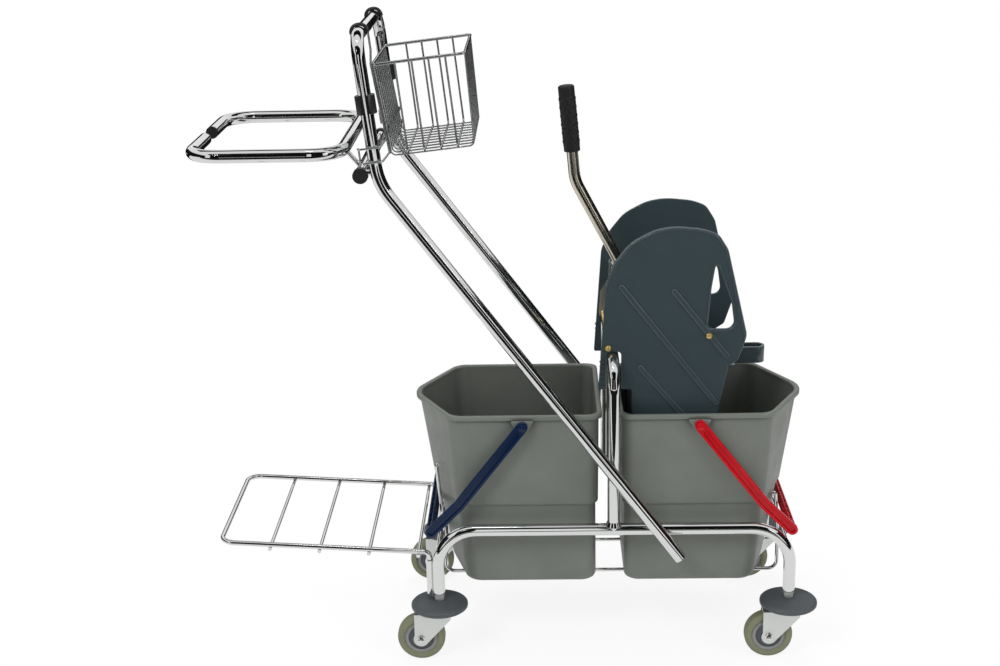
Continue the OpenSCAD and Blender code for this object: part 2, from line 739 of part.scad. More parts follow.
module trough_floor() color(slate) at_hoop() difference() {
    pitch = (trough_l - 17) / drain_rows;
    translate([trough_x + seat, -trough_half, trough_z - trough_wall])
        cube([trough_l - 2 * seat, 2 * trough_half, trough_wall]);
    for (i = [0 : drain_rows - 1])
        for (k = [-3 : 3])
            translate([trough_x + 10 + i * pitch, k * 25 - 9, trough_z - trough_wall - 1])
                cube([pitch - 7, 18, trough_wall + 2]);
}

module trough_front() color(slate) at_hoop() difference() {
    foot = trough_x + trough_l;
    pitch = 150 / drain_rows;
    trough_panel([[foot, trough_z - trough_wall], [foot + 4, trough_z - trough_wall], front_bend + [4, 0],
        front_top + [3, -trough_wall], [flange_x, front_top[1] - trough_wall],
        [flange_x, front_top[1]], front_top, front_bend]);
    for (i = [0 : drain_rows - 1])
        for (k = [-3 : 3])
            translate([100, k * 25 - 4, trough_z + 22 + i * pitch]) cube([74, 8, pitch - 8]);
}

// The lug is hollow from above
module trough_lug() color(slate) at_hoop() difference() {
    union() {
        translate([flange_x + seat, -lug_w / 2, lug_z]) cube([lug_x - flange_x - seat, lug_w, lug_h]);
        translate([lug_x, 0, lug_z]) cylinder(h = lug_h, d = lug_w);
    }
    translate([flange_x + 10, -lug_w / 2 + lug_wall, lug_z + lug_wall])
        cube([lug_x - flange_x - 10, lug_w - 2 * lug_wall, lug_h]);
    translate([lug_x, 0, lug_z + lug_wall]) cylinder(h = lug_h, d = lug_w - 2 * lug_wall);
}

module wringer_shaft(x, z) at_hoop() color([0.8, 0.65, 0.3]) {
    pin(x, z, -plate_out - seat, plate_out + seat, shaft_d);
    pin(x, z, -plate_out - seat - head_t, -plate_out - seat, head_d);
    pin(x, z, plate_out + seat, plate_out + seat + head_t, head_d);
}

module lever_shaft() {
    wringer_shaft(-pivot_x, pivot_z);
}

module stay_shaft() {
    wringer_shaft(stay_x, stay_z);
}

// Lever: press plate, yoke, bent tube and grip turn together on the lever shaft

press_x = -pivot_x + 12;
press_t = 7;
press_low = pivot_z + 14;
arm_t = 4;
arm_in = plate_in - 1.5 - arm_t;
hub_d = 14;
lever_low = [15.3, 605];
lever_bend = [-53.5, 736];
lever_top = [lever_bend[0] - (lever_z - lever_bend[1]) * 0.089, lever_z];
lever_path = xz([lever_low, lever_bend, lever_top], 0);
lever_dir = way(lever_path, 0);

module press_plate() color(slate) at_hoop() difference() {
    union() {
        translate([press_x, -arm_in + seat, press_low]) cube([press_t, 2 * (arm_in - seat), press_l]);
        // Ribs on the pressing face
        for (k = [-4 : 4])
            if (abs(k) > 0)
                translate([press_x + press_t - 1, k * 17 - 1.5, press_low]) cube([4, 3, press_l]);
    }
    for (k = [-4 : 3])
        for (i = [0 : 3])
            translate([press_x - 1, k * 17 + 5, press_low + 10 + i * 18]) cube([press_t + 6, 7, 12]);
}

// Two steel arms on the shaft, joined behind the press plate by a cross strap that holds the tube
module lever_yoke() color(zinc) at_hoop() difference() {
    union() {
        for (s = [-1, 1]) {
            y = s > 0 ? arm_in : -arm_in - arm_t;
            slab(y, arm_t) strip([[-pivot_x, pivot_z], [-pivot_x + 2, press_low + 20],
                                  [press_x + press_t / 2, press_low + 44],
                                  [press_x + press_t / 2, press_low + press_l - 8]], hub_d);
        }
        translate([press_x - 3 - seat, -arm_in - arm_t, press_low + press_l - 42])
            cube([3, 2 * (arm_in + arm_t), 34]);
        translate([press_x - 3 - seat, -13, press_low + press_l + seat]) cube([32, 26, 4]);
        translate([press_x - 3 - seat, -13, press_low + press_l - 12]) cube([3, 26, 14]);
        // Socket that takes the end of the tube
        bar(lever_path[0] - 10 * lever_dir, lever_path[0] + 6 * lever_dir, lever_d + 6);
    }
    bar(lever_path[0] - seat * lever_dir, lever_path[0] + 40 * lever_dir, lever_d + 2 * seat);
    pin(-pivot_x, pivot_z, -plate_out, plate_out, shaft_d + 2 * run_fit);
    // Room for the press plate
    translate([press_x - seat, -arm_in, press_low - seat])
        cube([press_t + 12, 2 * arm_in, press_l + 2 * seat]);
}

module lever_tube() color(chrome) at_hoop() difference() {
    rod(lever_path, 60, lever_d);
    rod(longer(lever_path, 1), 60, lever_d - 2 * tube_wall);
}

module lever_grip() color(black) at_hoop() {
    up = unit(lever_path[2] - lever_path[1]);
    difference() {
        bar(lever_path[2] - up * (grip_l - 4), lever_path[2] + up * 4, grip_d);
        bar(lever_path[2] - up * grip_l, lever_path[2] + up * seat, lever_d + 2 * seat);
    }
}

// Casters, drawn round their swivel axes with the axle trailing towards -X

fork_top = 80;
race_d = 36;
bumper_z = 87;
bumper_h = 13.5;
dome_r = 150;
neck_d = 15;
stem_d = axle_d + 3;
tread_in = wheel_d * 0.69;
fork_gap = wheel_w / 2 + 1.5;

module at_caster(sx, sy) {
    at_hoop() translate([sx * stem_x, sy * rail_y, 0]) children();
}

module caster_stem() color(zinc) {
    translate([0, 0, leg_z - 4]) cylinder(h = 24, d = tube_d - 2 * tube_wall - 2 * seat);
    translate([0, 0, bumper_z + bumper_h + seat])
        cylinder(h = leg_z - seat - bumper_z - bumper_h - seat, d = neck_d);
    translate([0, 0, fork_top - fork_t - 4]) cylinder(h = leg_z - fork_top + fork_t, d = stem_d);
    translate([0, 0, fork_top - fork_t - 4]) cylinder(h = 3.7, d = stem_d + 4);
}

module caster_bumper() color([0.16, 0.17, 0.17]) difference() {
    union() {
        intersection() {
            translate([0, 0, bumper_z]) cylinder(h = bumper_h, d = bumper_d);
            translate([0, 0, bumper_z + bumper_h - dome_r]) sphere(r = dome_r, $fn = 96);
        }
        translate([0, 0, fork_top + side_gap]) cylinder(h = bumper_z - fork_top, d = race_d);
    }
    cylinder(h = 2 * bumper_z, d = stem_d + 2 * seat);
}

module caster_fork() color(zinc) difference() {
    union() {
        translate([-40, -fork_gap - fork_t, fork_top - fork_t]) cube([57, 2 * (fork_gap + fork_t), fork_t]);
        for (s = [-1, 1])
            slab(s > 0 ? fork_gap : -fork_gap - fork_t, fork_t) {
                polygon([[-40, fork_top], [17, fork_top], [17, fork_top - 9],
                         [-trail + 10.5, wheel_d / 2 - 6], [-trail - 10, wheel_d / 2]]);
                translate([-trail, wheel_d / 2]) circle(r = 12);
            }
    }
    translate([0, 0, fork_top - fork_t - 1]) cylinder(h = fork_t + 2, d = stem_d + 2 * run_fit);
    pin(-trail, wheel_d / 2, -fork_gap - fork_t - 1, fork_gap + fork_t + 1, axle_d + 2 * seat);
}

module caster_axle() color(zinc) {
    end = fork_gap + fork_t + seat;
    pin(-trail, wheel_d / 2, -end, end, axle_d);
    pin(-trail, wheel_d / 2, -end - 3.5, -end, axle_d + 5);
    pin(-trail, wheel_d / 2, end, end + 4.5, axle_d + 5);
}

module caster_hub() color([0.45, 0.46, 0.46])
translate([-trail, 0, wheel_d / 2]) rotate([90, 0, 0]) difference() {
    union() {
        translate([0, 0, -wheel_w / 2 + 2]) cylinder(h = wheel_w - 4, d = tread_in);
        translate([0, 0, -wheel_w / 2 - 0.7]) cylinder(h = wheel_w + 1.4, d = tread_in * 0.64);
    }
    translate([0, 0, -wheel_w]) cylinder(h = 2 * wheel_w, d = axle_d + 2 * run_fit);
}

module caster_tread() color(olive) translate([-trail, 0, wheel_d / 2]) rotate([90, 0, 0]) rotate_extrude() {
    w = wheel_w / 2;
    r = wheel_d / 2;
    polygon([[tread_in / 2 + seat, -w + 1], [r - 5, -w], [r - 1.5, -w + 1.5], [r, -w + 5], [r, w - 5],
             [r - 1.5, w - 1.5], [r - 5, w], [tread_in / 2 + seat, w - 1]]);
}

frame();
push_handle();
wire_shelf();
bag_ring();
ring_plug_near();
ring_plug_far();
bearer_cap_near();
bearer_cap_far();
basket();
sleeve_near();
sleeve_far();
clip_near();
clip_far();
bucket_left();
bucket_right();
bail_left();
bail_right();
wringer_plate_near();
wringer_plate_far();
trough_back();
trough_floor();
trough_front();
trough_lug();
lever_shaft();
stay_shaft();
press_plate();
lever_yoke();
lever_tube();
lever_grip();
at_caster(-1, -1) caster_stem();  // stem_nl
at_caster(-1, -1) caster_bumper();  // bumper_nl
at_caster(-1, -1) caster_fork();  // fork_nl
at_caster(-1, -1) caster_axle();  // axle_nl
at_caster(-1, -1) caster_hub();  // hub_nl
at_caster(-1, -1) caster_tread();  // tread_nl
at_caster(1, -1) caster_stem();  // stem_nr
at_caster(1, -1) caster_bumper();  // bumper_nr
at_caster(1, -1) caster_fork();  // fork_nr
at_caster(1, -1) caster_axle();  // axle_nr
at_caster(1, -1) caster_hub();  // hub_nr
at_caster(1, -1) caster_tread();  // tread_nr
at_caster(-1, 1) caster_stem();  // stem_fl
at_caster(-1, 1) caster_bumper();  // bumper_fl
at_caster(-1, 1) caster_fork();  // fork_fl
at_caster(-1, 1) caster_axle();  // axle_fl
at_caster(-1, 1) caster_hub();  // hub_fl
at_caster(-1, 1) caster_tread();  // tread_fl
at_caster(1, 1) caster_stem();  // stem_fr
at_caster(1, 1) caster_bumper();  // bumper_fr
at_caster(1, 1) caster_fork();  // fork_fr
at_caster(1, 1) caster_axle();  // axle_fr
at_caster(1, 1) caster_hub();  // hub_fr
at_caster(1, 1) caster_tread();  // tread_fr
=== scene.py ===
import json
import math

import bmesh
import bpy
from mathutils import Matrix, Vector


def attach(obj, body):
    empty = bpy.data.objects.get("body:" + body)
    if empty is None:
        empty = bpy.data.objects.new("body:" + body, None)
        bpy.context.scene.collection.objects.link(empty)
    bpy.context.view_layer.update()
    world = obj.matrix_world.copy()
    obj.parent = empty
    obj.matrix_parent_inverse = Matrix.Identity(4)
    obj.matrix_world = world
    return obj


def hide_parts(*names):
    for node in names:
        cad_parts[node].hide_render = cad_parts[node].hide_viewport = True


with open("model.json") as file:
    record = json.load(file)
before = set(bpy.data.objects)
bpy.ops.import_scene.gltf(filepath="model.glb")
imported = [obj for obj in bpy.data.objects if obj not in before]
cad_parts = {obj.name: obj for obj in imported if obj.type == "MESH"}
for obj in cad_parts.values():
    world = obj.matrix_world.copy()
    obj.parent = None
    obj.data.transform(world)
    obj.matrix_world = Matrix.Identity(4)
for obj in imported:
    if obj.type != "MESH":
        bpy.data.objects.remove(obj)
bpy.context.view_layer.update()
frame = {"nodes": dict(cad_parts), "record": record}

# Shapes are written in millimetres with x measured from the hoop, as in the CAD's source, and
# placed in the CAD's frame in metres. Materials and the stage are in metres.
HOOP_X = 0.15175
MM = 0.001


# Materials

NOISE_LOW = 0.3
NOISE_HIGH = 0.7
# Reach and range of the painted shade in deep hollows
HOLLOW_REACH = 0.2
HOLLOW_DEEP = 0.35
HOLLOW_OPEN = 0.9


class Shader:
    """A Principled material with a few helpers for procedural detail."""

    def __init__(self, name):
        self.mat = bpy.data.materials.new(name)
        self.mat.use_nodes = True
        self.tree = self.mat.node_tree
        self.bsdf = self.tree.nodes["Principled BSDF"]
        self.coords = self.tree.nodes.new("ShaderNodeTexCoord").outputs["Object"]

    def set(self, **values):
        for name, value in values.items():
            self.bsdf.inputs[name.replace("_", " ")].default_value = value

    def noise(self, scale, detail):
        node = self.tree.nodes.new("ShaderNodeTexNoise")
        node.inputs["Scale"].default_value = scale
        node.inputs["Detail"].default_value = detail
        self.tree.links.new(self.coords, node.inputs["Vector"])
        return node.outputs["Fac"]

    def spread(self, source, low, high, start=NOISE_LOW, end=NOISE_HIGH):
        """Maps a value between start and end to the range low to high."""
        node = self.tree.nodes.new("ShaderNodeMapRange")
        node.inputs["From Min"].default_value = start
        node.inputs["From Max"].default_value = end
        node.inputs["To Min"].default_value = low
        node.inputs["To Max"].default_value = high
        self.tree.links.new(source, node.inputs["Value"])
        return node.outputs["Result"]

    def colours(self, source, low, high):
        """Colour that follows a noise from low to high."""
        node = self.tree.nodes.new("ShaderNodeValToRGB")
        stops = ((NOISE_LOW, low), (NOISE_HIGH, high))
        for element, (place, colour) in zip(node.color_ramp.elements, stops):
            element.position = place
            element.color = (*colour, 1.0)
        self.tree.links.new(source, node.inputs["Fac"])
        self.tree.links.new(node.outputs["Color"], self.bsdf.inputs["Base Color"])

    def paint_hollow_shade(self, dark):
        """Darkens the colour inside deep hollows of the piece, down to the share dark: painted
        shade, found with a local ambient occlusion node.
        """
        nodes, links = self.tree.nodes, self.tree.links
        hollow_shade = nodes.new("ShaderNodeAmbientOcclusion")
        hollow_shade.only_local = True
        hollow_shade.samples = 8
        hollow_shade.inputs["Distance"].default_value = HOLLOW_REACH
        scale = nodes.new("ShaderNodeVectorMath")
        scale.operation = "SCALE"
        base = self.bsdf.inputs["Base Color"]
        share = self.spread(hollow_shade.outputs["AO"], dark, 1.0, HOLLOW_DEEP, HOLLOW_OPEN)
        links.new(base.links[0].from_socket, scale.inputs[0])
        links.new(share, scale.inputs["Scale"])
        links.new(scale.outputs["Vector"], base)

    def rough(self, source, low, high):
        self.tree.links.new(self.spread(source, low, high), self.bsdf.inputs["Roughness"])

    def bump(self, source, depth, strength):
        node = self.tree.nodes.new("ShaderNodeBump")
        node.inputs["Strength"].default_value = strength
        node.inputs["Distance"].default_value = depth
        self.tree.links.new(source, node.inputs["Height"])
        self.tree.links.new(node.outputs["Normal"], self.bsdf.inputs["Normal"])


def scaled(colour, k):
    return tuple(min(1.0, c * k) for c in colour)


def metal(name, colour, smooth, dull, tint=0.05, grain=0.06):
    """Polished or plated metal: smooth and dull are its roughness, tint its cloudiness."""
    s = Shader(name)
    s.set(Metallic=1.0)
    s.colours(s.noise(9.0, 4.0), scaled(colour, 1.0 - tint), colour)
    s.rough(s.noise(60.0, 5.0), smooth, dull)
    s.bump(s.noise(700.0, 2.0), 0.00001, grain)
    return s.mat


def plastic(name, colour, smooth, dull, grain, depth, tint=0.08, specular=0.4, hollow_shade=None):
    """Moulded plastic or rubber: grain is the fineness of its skin and depth its relief."""
    s = Shader(name)
    s.set(Specular_IOR_Level=specular)
    s.colours(s.noise(14.0, 5.0), scaled(colour, 1.0 - tint), scaled(colour, 1.0 + tint))
    # Painted shade in the deep hollows, down to the given share
    if hollow_shade:
        s.paint_hollow_shade(hollow_shade)
    s.rough(s.noise(40.0, 4.0), smooth, dull)
    s.bump(s.noise(grain, 2.0), depth, 0.5)
    return s.mat


CHROME = metal("chrome", (0.66, 0.67, 0.66), 0.03, 0.07)
ZINC = metal("zinc", (0.62, 0.64, 0.62), 0.34, 0.42, 0.03, 0.25)
BRASS = metal("brass", (0.95, 0.70, 0.24), 0.26, 0.36, 0.1)
WIRE = metal("basket_wire", (0.45, 0.46, 0.46), 0.08, 0.16)
STEEL = metal("lever_steel", (0.56, 0.52, 0.43), 0.14, 0.22)
# The bucket grey has painted shade in its deep hollows
GREY = plastic("bucket_grey", (0.135, 0.147, 0.130), 0.38, 0.5, 1800.0, 0.00004,
               specular=0.3, hollow_shade=0.25)
SLATE = plastic("wringer_slate", (0.031, 0.046, 0.052), 0.16, 0.24, 1500.0, 0.00002,
                tint=0.03, specular=0.5)
# Lighter slate for the edge beads of the wringer plates: painted highlight
SLATE_PAINTED_HIGHLIGHT = plastic("wringer_edge_painted_highlight", (0.075, 0.095, 0.102), 0.16, 0.24, 1500.0, 0.00002,
                     tint=0.2, specular=0.5)
BLUE = plastic("bail_blue", (0.001, 0.011, 0.042), 0.16, 0.24, 1200.0, 0.00002, specular=0.25)
RED = plastic("bail_red", (0.40, 0.001, 0.006), 0.16, 0.24, 1200.0, 0.00002, specular=0.25)
BLACK = plastic("black_plastic", (0.010, 0.010, 0.010), 0.3, 0.45, 1200.0, 0.00004)
GRIP = plastic("grip_rubber", (0.008, 0.008, 0.008), 0.4, 0.55, 900.0, 0.0001, specular=0.3)
BUMPER = plastic("bumper_rubber", (0.060, 0.068, 0.074), 0.45, 0.6, 1100.0, 0.00005)
HUB = plastic("hub_grey", (0.22, 0.22, 0.22), 0.4, 0.55, 1100.0, 0.00004)
TREAD = plastic("tread_olive", (0.165, 0.172, 0.105), 0.5, 0.65, 800.0, 0.0001)

BY_SLOT = {
    "chrome": CHROME, "zinc": ZINC, "brass": BRASS, "grey_plastic": GREY, "slate_plastic": SLATE,
    "blue_plastic": BLUE, "red_plastic": RED, "black_plastic": BLACK, "black_rubber": GRIP,
    "bumper_rubber": BUMPER, "hub_plastic": HUB, "tread_rubber": TREAD,
}
BY_NODE = {"basket": WIRE, "lever_tube": STEEL}

for part in frame["record"]["subparts"]:
    finish = BY_NODE.get(part["node"], BY_SLOT[part["material_slot"]])
    frame["nodes"][part["node"]].material_slots[0].material = finish


# Shapes


def flat_places(points):
    """Flat points in millimetres from the hoop, in the frame's metres."""
    return [(p[0] * MM + HOOP_X, p[1] * MM) for p in points]


def placed(x, y, z):
    """A place in millimetres from the hoop, in the frame's metres."""
    return (x * MM + HOOP_X, y * MM, z * MM)


def rounded(corners, steps):
    """Flat outline whose corners are (x, y, radius), each turned into an arc of a few points."""
    points = []
    count = len(corners)
    for i, (x, y, radius) in enumerate(corners):
        p = Vector((x, y))
        a = (Vector(corners[i - 1][:2]) - p).normalized()
        b = (Vector(corners[(i + 1) % count][:2]) - p).normalized()
        half = math.acos(max(-1.0, min(1.0, a.dot(b)))) / 2
        centre = p + (a + b).normalized() * radius / math.sin(half)
        start = p + a * radius / math.tan(half) - centre
        end = p + b * radius / math.tan(half) - centre
        first = math.atan2(start.y, start.x)
        sweep = math.atan2(start.x * end.y - start.y * end.x, start.dot(end))
        for k in range(steps + 1):
            turn = first + sweep * k / steps
            points.append(centre + radius * Vector((math.cos(turn), math.sin(turn))))
    return points


def add(obj, material, body, slot, *nodes):
    """Puts a new piece on its body, with its finish and the CAD nodes that it stands for."""
    obj.data.materials.clear()
    obj.data.materials.append(material)
    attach(obj, body)
    if nodes:
        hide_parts(*nodes)


def linked(name, data):
    obj = bpy.data.objects.new(name, data)
    bpy.context.collection.objects.link(obj)
    return obj


def mesh_object(name, verts, faces):
    mesh = bpy.data.meshes.new(name)
    mesh.from_pydata(verts, [], faces)
    mesh.polygons.foreach_set("use_smooth", [True] * len(mesh.polygons))
    return linked(name, mesh)


def joined(name, objs):
    """One mesh object out of several mesh or curve objects, which are removed."""
    bm = bmesh.new()
    graph = bpy.context.evaluated_depsgraph_get()
    for o in objs:
        graph.update()
        piece = bpy.data.meshes.new_from_object(o.evaluated_get(graph))
        piece.transform(o.matrix_world)
        bm.from_mesh(piece)
        bpy.data.meshes.remove(piece)
        bpy.data.objects.remove(o)
    mesh = bpy.data.meshes.new(name)
    bm.to_mesh(mesh)
    bm.free()
    return linked(name, mesh)


def flat_piece(outlines, y, thickness, bevel):
    """An upright plate from y to y + thickness with rounded edges.

    The first outline is its edge and the others are holes.
    """
    y, thickness, bevel = y * MM, thickness * MM, bevel * MM
    curve = bpy.data.curves.new("flat", "CURVE")
    curve.dimensions = "2D"
    curve.fill_mode = "BOTH"
    curve.extrude = thickness / 2 - bevel
    curve.bevel_depth = bevel
    curve.bevel_resolution = 3
    curve.offset = -bevel
    for outline in outlines:
        spline = curve.splines.new("POLY")
        spline.points.add(len(outline) - 1)
        for point, (x, z) in zip(spline.points, flat_places(outline)):
            point.co = (x, z, 0.0, 1.0)
        spline.use_cyclic_u = True
    obj = linked("flat", curve)
    middle = y + thickness / 2
    obj.matrix_world = Matrix(((1, 0, 0, 0), (0, 0, -1, middle), (0, 1, 0, 0), (0, 0, 0, 1)))
    return obj


def bead(points, y, radius, closed=False):
    """A round bead along flat points at a depth y."""
    curve = bpy.data.curves.new("bead", "CURVE")
    curve.dimensions = "3D"
    curve.bevel_depth = radius * MM
    curve.bevel_resolution = 4
    curve.use_fill_caps = True
    spline = curve.splines.new("POLY")
    spline.points.add(len(points) - 1)
    for point, p in zip(spline.points, points):
        point.co = (*placed(p[0], y, p[1]), 1.0)
    spline.use_cyclic_u = closed
    spline.use_smooth = True
    return linked("bead", curve)


def lathe(profile, start, axis, segments, ring=False):
    """A turned piece: profile is (distance along axis, radius) in millimetres.

    It runs from one end to the other, or round a ring. The start is in metres.
    """
    turn = Vector(axis).normalized().to_track_quat("Z", "Y").to_matrix()
    verts = []
    for along, radius in profile:
        along, radius = along * MM, radius * MM
        for k in range(segments):
            a = math.tau * k / segments
            spoke = Vector((radius * math.cos(a), radius * math.sin(a), along))
            verts.append(tuple(Vector(start) + turn @ spoke))
    rows = len(profile)
    faces = []
    for j in range(rows if ring else rows - 1):
        n = (j + 1) % rows
        for k in range(segments):
            m = (k + 1) % segments
            faces.append((j * segments + k, j * segments + m, n * segments + m, n * segments + k))
    if not ring:
        faces.append(tuple(range(segments - 1, -1, -1)))
        faces.append(tuple((rows - 1) * segments + k for k in range(segments)))
    return mesh_object("lathe", verts, faces)


def strip_outline(a, b, width):
    """Stadium outline round the line from a to b."""
    a, b = Vector(a), Vector(b)
    along = (b - a).normalized()
    side = Vector((-along.y, along.x)) * width / 2
    along = along * width / 2
    r = width / 2 - 0.01
    corners = [a - along - side, b + along - side, b + along + side, a - along + side]
    return rounded([(c.x, c.y, r) for c in corners], 8)


# Buckets: the CAD's rings, refined beside every edge so that they shade as soft moulded corners

BUCKET_IN = 12.5
BUCKET_L = 287.0
BUCKET_W = 252.0
BUCKET_Z = 111.1
BUCKET_WALL = 3.0
RIM_Z = 398.5
RIM_H = 7.5
RIM_OUT = 5.0
STEP_Z = 247.0
SPOUT_CUT = 12.5
BUCKET_OFF = 4.0
BAIL_X = 135.0
BAIL_Z = 385.0
END_R = 18
SHOULDER_R = 26
TIP_R = 60
# How far a level lies inside the rim at its end and sides, then its shoulder and tip as shares
RIM = (0, 0, 0.81, 1.0)
STEP = (6, 10.5, 0.775, 0.895)
LOW = (9.5, 18, 0.735, 0.805)
LUG_IN = BUCKET_W / 2 - 7
LUG_OUT = BUCKET_W / 2 + 6
LUG_TOP = RIM_Z - RIM_H + 1 - BAIL_Z
LUG = [(-18, LUG_TOP, 1.5), (-8, -9.5, 4), (8, -9.5, 4), (18, LUG_TOP, 1.5)]
PIN = [(0, 4), (10.8, 4), (11.8, 3.4), (12, 2.2)]


def bucket_ring(level, z, d):
    """Outline of a level at the height z, a distance d inside its outer face."""
    end_in, side_in, shoulder_share, tip_share = level
    end = BUCKET_IN + end_in
    half = BUCKET_W / 2 - side_in
    shoulder = BUCKET_IN + shoulder_share * BUCKET_L
    tip = BUCKET_IN + tip_share * BUCKET_L + SPOUT_CUT
    outline = rounded([
        (end + d, -half + d, END_R), (shoulder - d / 2, -half + d, SHOULDER_R),
        (tip - 1.2 * d, 0, TIP_R),
        (shoulder - d / 2, half - d, SHOULDER_R), (end + d, half - d, END_R)], 16)
    return [Vector((p.x, p.y, z)) for p in outline]


def refine(rings, margin):
    """Adds a ring close to both ends of every long stretch between two rings."""
    out = [rings[0]]
    for a, b in zip(rings, rings[1:]):
        length = (b[0] - a[0]).length
        if length > 4 * margin:
            for t in (margin / length, 0.5, 1 - margin / length):
                out.append([p.lerp(q, t) for p, q in zip(a, b)])
        out.append(b)
    return out


def bucket_shell(side):
    t, z, rim_low = BUCKET_WALL, BUCKET_Z, RIM_Z - RIM_H
    outside = [
        (LOW, z, 13), (LOW, z + 0.5, 9.5), (LOW, z + 2.2, 5.5), (LOW, z + 5.2, 2.4),
        (LOW, z + 10, 0.5), (LOW, z + 15, 0),
        (STEP, STEP_Z - 3, 4), (STEP, STEP_Z - 2.2, 3.6), (STEP, STEP_Z + 1.2, 0.5),
        (STEP, STEP_Z + 2.6, 0),
        (RIM, rim_low, RIM_OUT), (RIM, rim_low, 1.0), (RIM, rim_low + 0.8, 0),
        (RIM, RIM_Z - 2.2, 0), (RIM, RIM_Z - 0.7, 0.6), (RIM, RIM_Z, 2.2)]
    inside = [
        (RIM, RIM_Z, t - 2.2 + RIM_OUT), (RIM, RIM_Z - 0.7, t - 0.6 + RIM_OUT),
        (RIM, RIM_Z - 2.4, t + RIM_OUT), (RIM, rim_low, t + RIM_OUT),
        (STEP, STEP_Z + 2.4, t), (STEP, STEP_Z + 1.2, t + 0.4), (STEP, STEP_Z - 2.2, 3.6 + t),
        (STEP, STEP_Z - 3.4, 4 + t),
        (LOW, z + 15 + t, t), (LOW, z + 8 + t, t + 1.5), (LOW, z + 2.2 + t, t + 6.0),
        (LOW, z + t, t + 13)]
    rings = refine([bucket_ring(*row) for row in outside + inside], 0.8)
    count = len(rings[0])
    verts = [placed(side * p.x - BUCKET_OFF, p.y, p.z) for ring in rings for p in ring]
    faces = []
    for j in range(len(rings) - 1):
        for i in range(count):
            n = (i + 1) % count
            faces.append((j * count + i, j * count + n, (j + 1) * count + n, (j + 1) * count + i))
    faces.append(tuple(range(count - 1, -1, -1)))
    faces.append(tuple((len(rings) - 1) * count + i for i in range(count)))
    return mesh_object("shell", verts, faces if side > 0 else [face[::-1] for face in faces])


def bucket(name, side, node):
    objs = [bucket_shell(side)]
    x = side * BAIL_X - BUCKET_OFF
    outline = [(x + p.x, BAIL_Z + p.y) for p in rounded(LUG, 6)]
    for near in (-1, 1):
        y = LUG_IN if near > 0 else -LUG_OUT
        objs.append(flat_piece([outline], y, LUG_OUT - LUG_IN, 1.6))
        objs.append(lathe(PIN, placed(x, near * (LUG_OUT - 2), BAIL_Z), (0, near, 0), 32))
    add(joined(name, objs), GREY, "base", "grey_plastic", node)


bucket("bucket_left_moulding", -1, "bucket_left")
bucket("bucket_right_moulding", 1, "bucket_right")


# Bails: rounded arms with a sunk channel, a grip with pockets between its ribs, caps on the pins

BAIL_KINK = (235.5, 256.0)
BAIL_CORNER = (279.0, 213.0)
BAIL_W = 17.0
BAIL_T = 8.0
BAIL_IN = 133.0
CHANNEL = 3.5
CHANNEL_START = 14
CHANNEL_LIP = 4.5
LIP_SINK = 0.5
BAR_W = 13.0
BAR_T = 10.0
BAR_WEB = 4.0
BAR_WALL = 3.0
BAR_RIBS = 12
BAIL_CAP = [
    (1.4, 0.05), (1.4, 5.0), (-0.2, 5.2), (-0.2, 6.6), (1.8, 6.4), (2.5, 5.6), (2.7, 0.05)]


def path_outline(points, width, bend):
    """Outline of a bent strip with round ends."""
    points = [Vector(p) for p in points]
    left, right = [], []
    for i, p in enumerate(points):
        before = (p - points[i - 1]).normalized() if i else (points[1] - p).normalized()
        after = (points[i + 1] - p).normalized() if i + 1 < len(points) else before
        side = Vector((-before.y - after.y, before.x + after.x)).normalized()
        reach = width / 2 / side.dot(Vector((-after.y, after.x)))
        inner = 0 < i < len(points) - 1
        shift = Vector((0, 0)) if inner else before * width / 2 * (1 if i else -1)
        radius = bend if inner else width / 2 - 0.01
        left.append((*(p + shift + side * reach), radius))
        right.append((*(p + shift - side * reach), radius))
    return rounded(left + right[::-1], 8)


